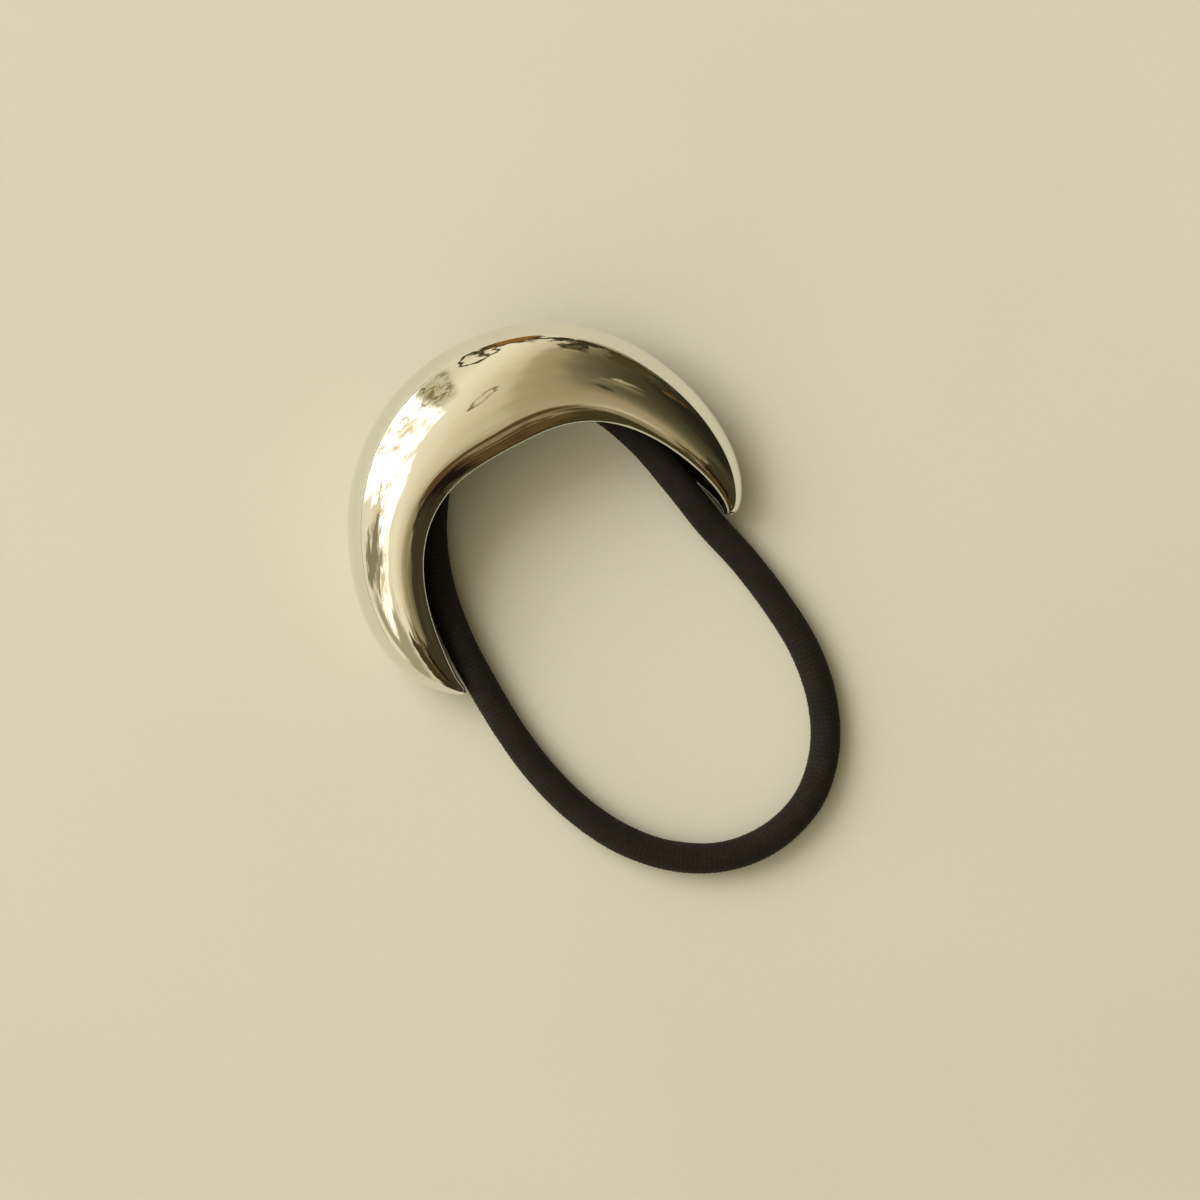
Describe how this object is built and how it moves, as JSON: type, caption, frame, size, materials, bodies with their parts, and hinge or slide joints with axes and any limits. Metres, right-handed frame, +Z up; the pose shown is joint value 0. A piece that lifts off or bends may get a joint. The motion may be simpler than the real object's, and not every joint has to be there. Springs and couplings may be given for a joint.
{
  "type": "ponytail cuff",
  "caption": "Hollow crescent of polished metal with an elastic loop through it behind a keeper post, for clasping a ponytail; it lies on its side.",
  "frame": {"origin": "on the table, under the centre of the metal body's box, with the cuff lying on its side", "axes": "+X from the left tip to the right tip, +Y from the mouth to the closed back, +Z up from the table"},
  "size_m": [0.0536, 0.0792, 0.0152],
  "materials": {
    "polished_metal": "polished",
    "knit_elastic": "matte"
  },
  "bodies": {
    "root": {"cuff_shell": "polished_metal", "elastic_loop": "knit_elastic"}
  },
  "joints": []
}
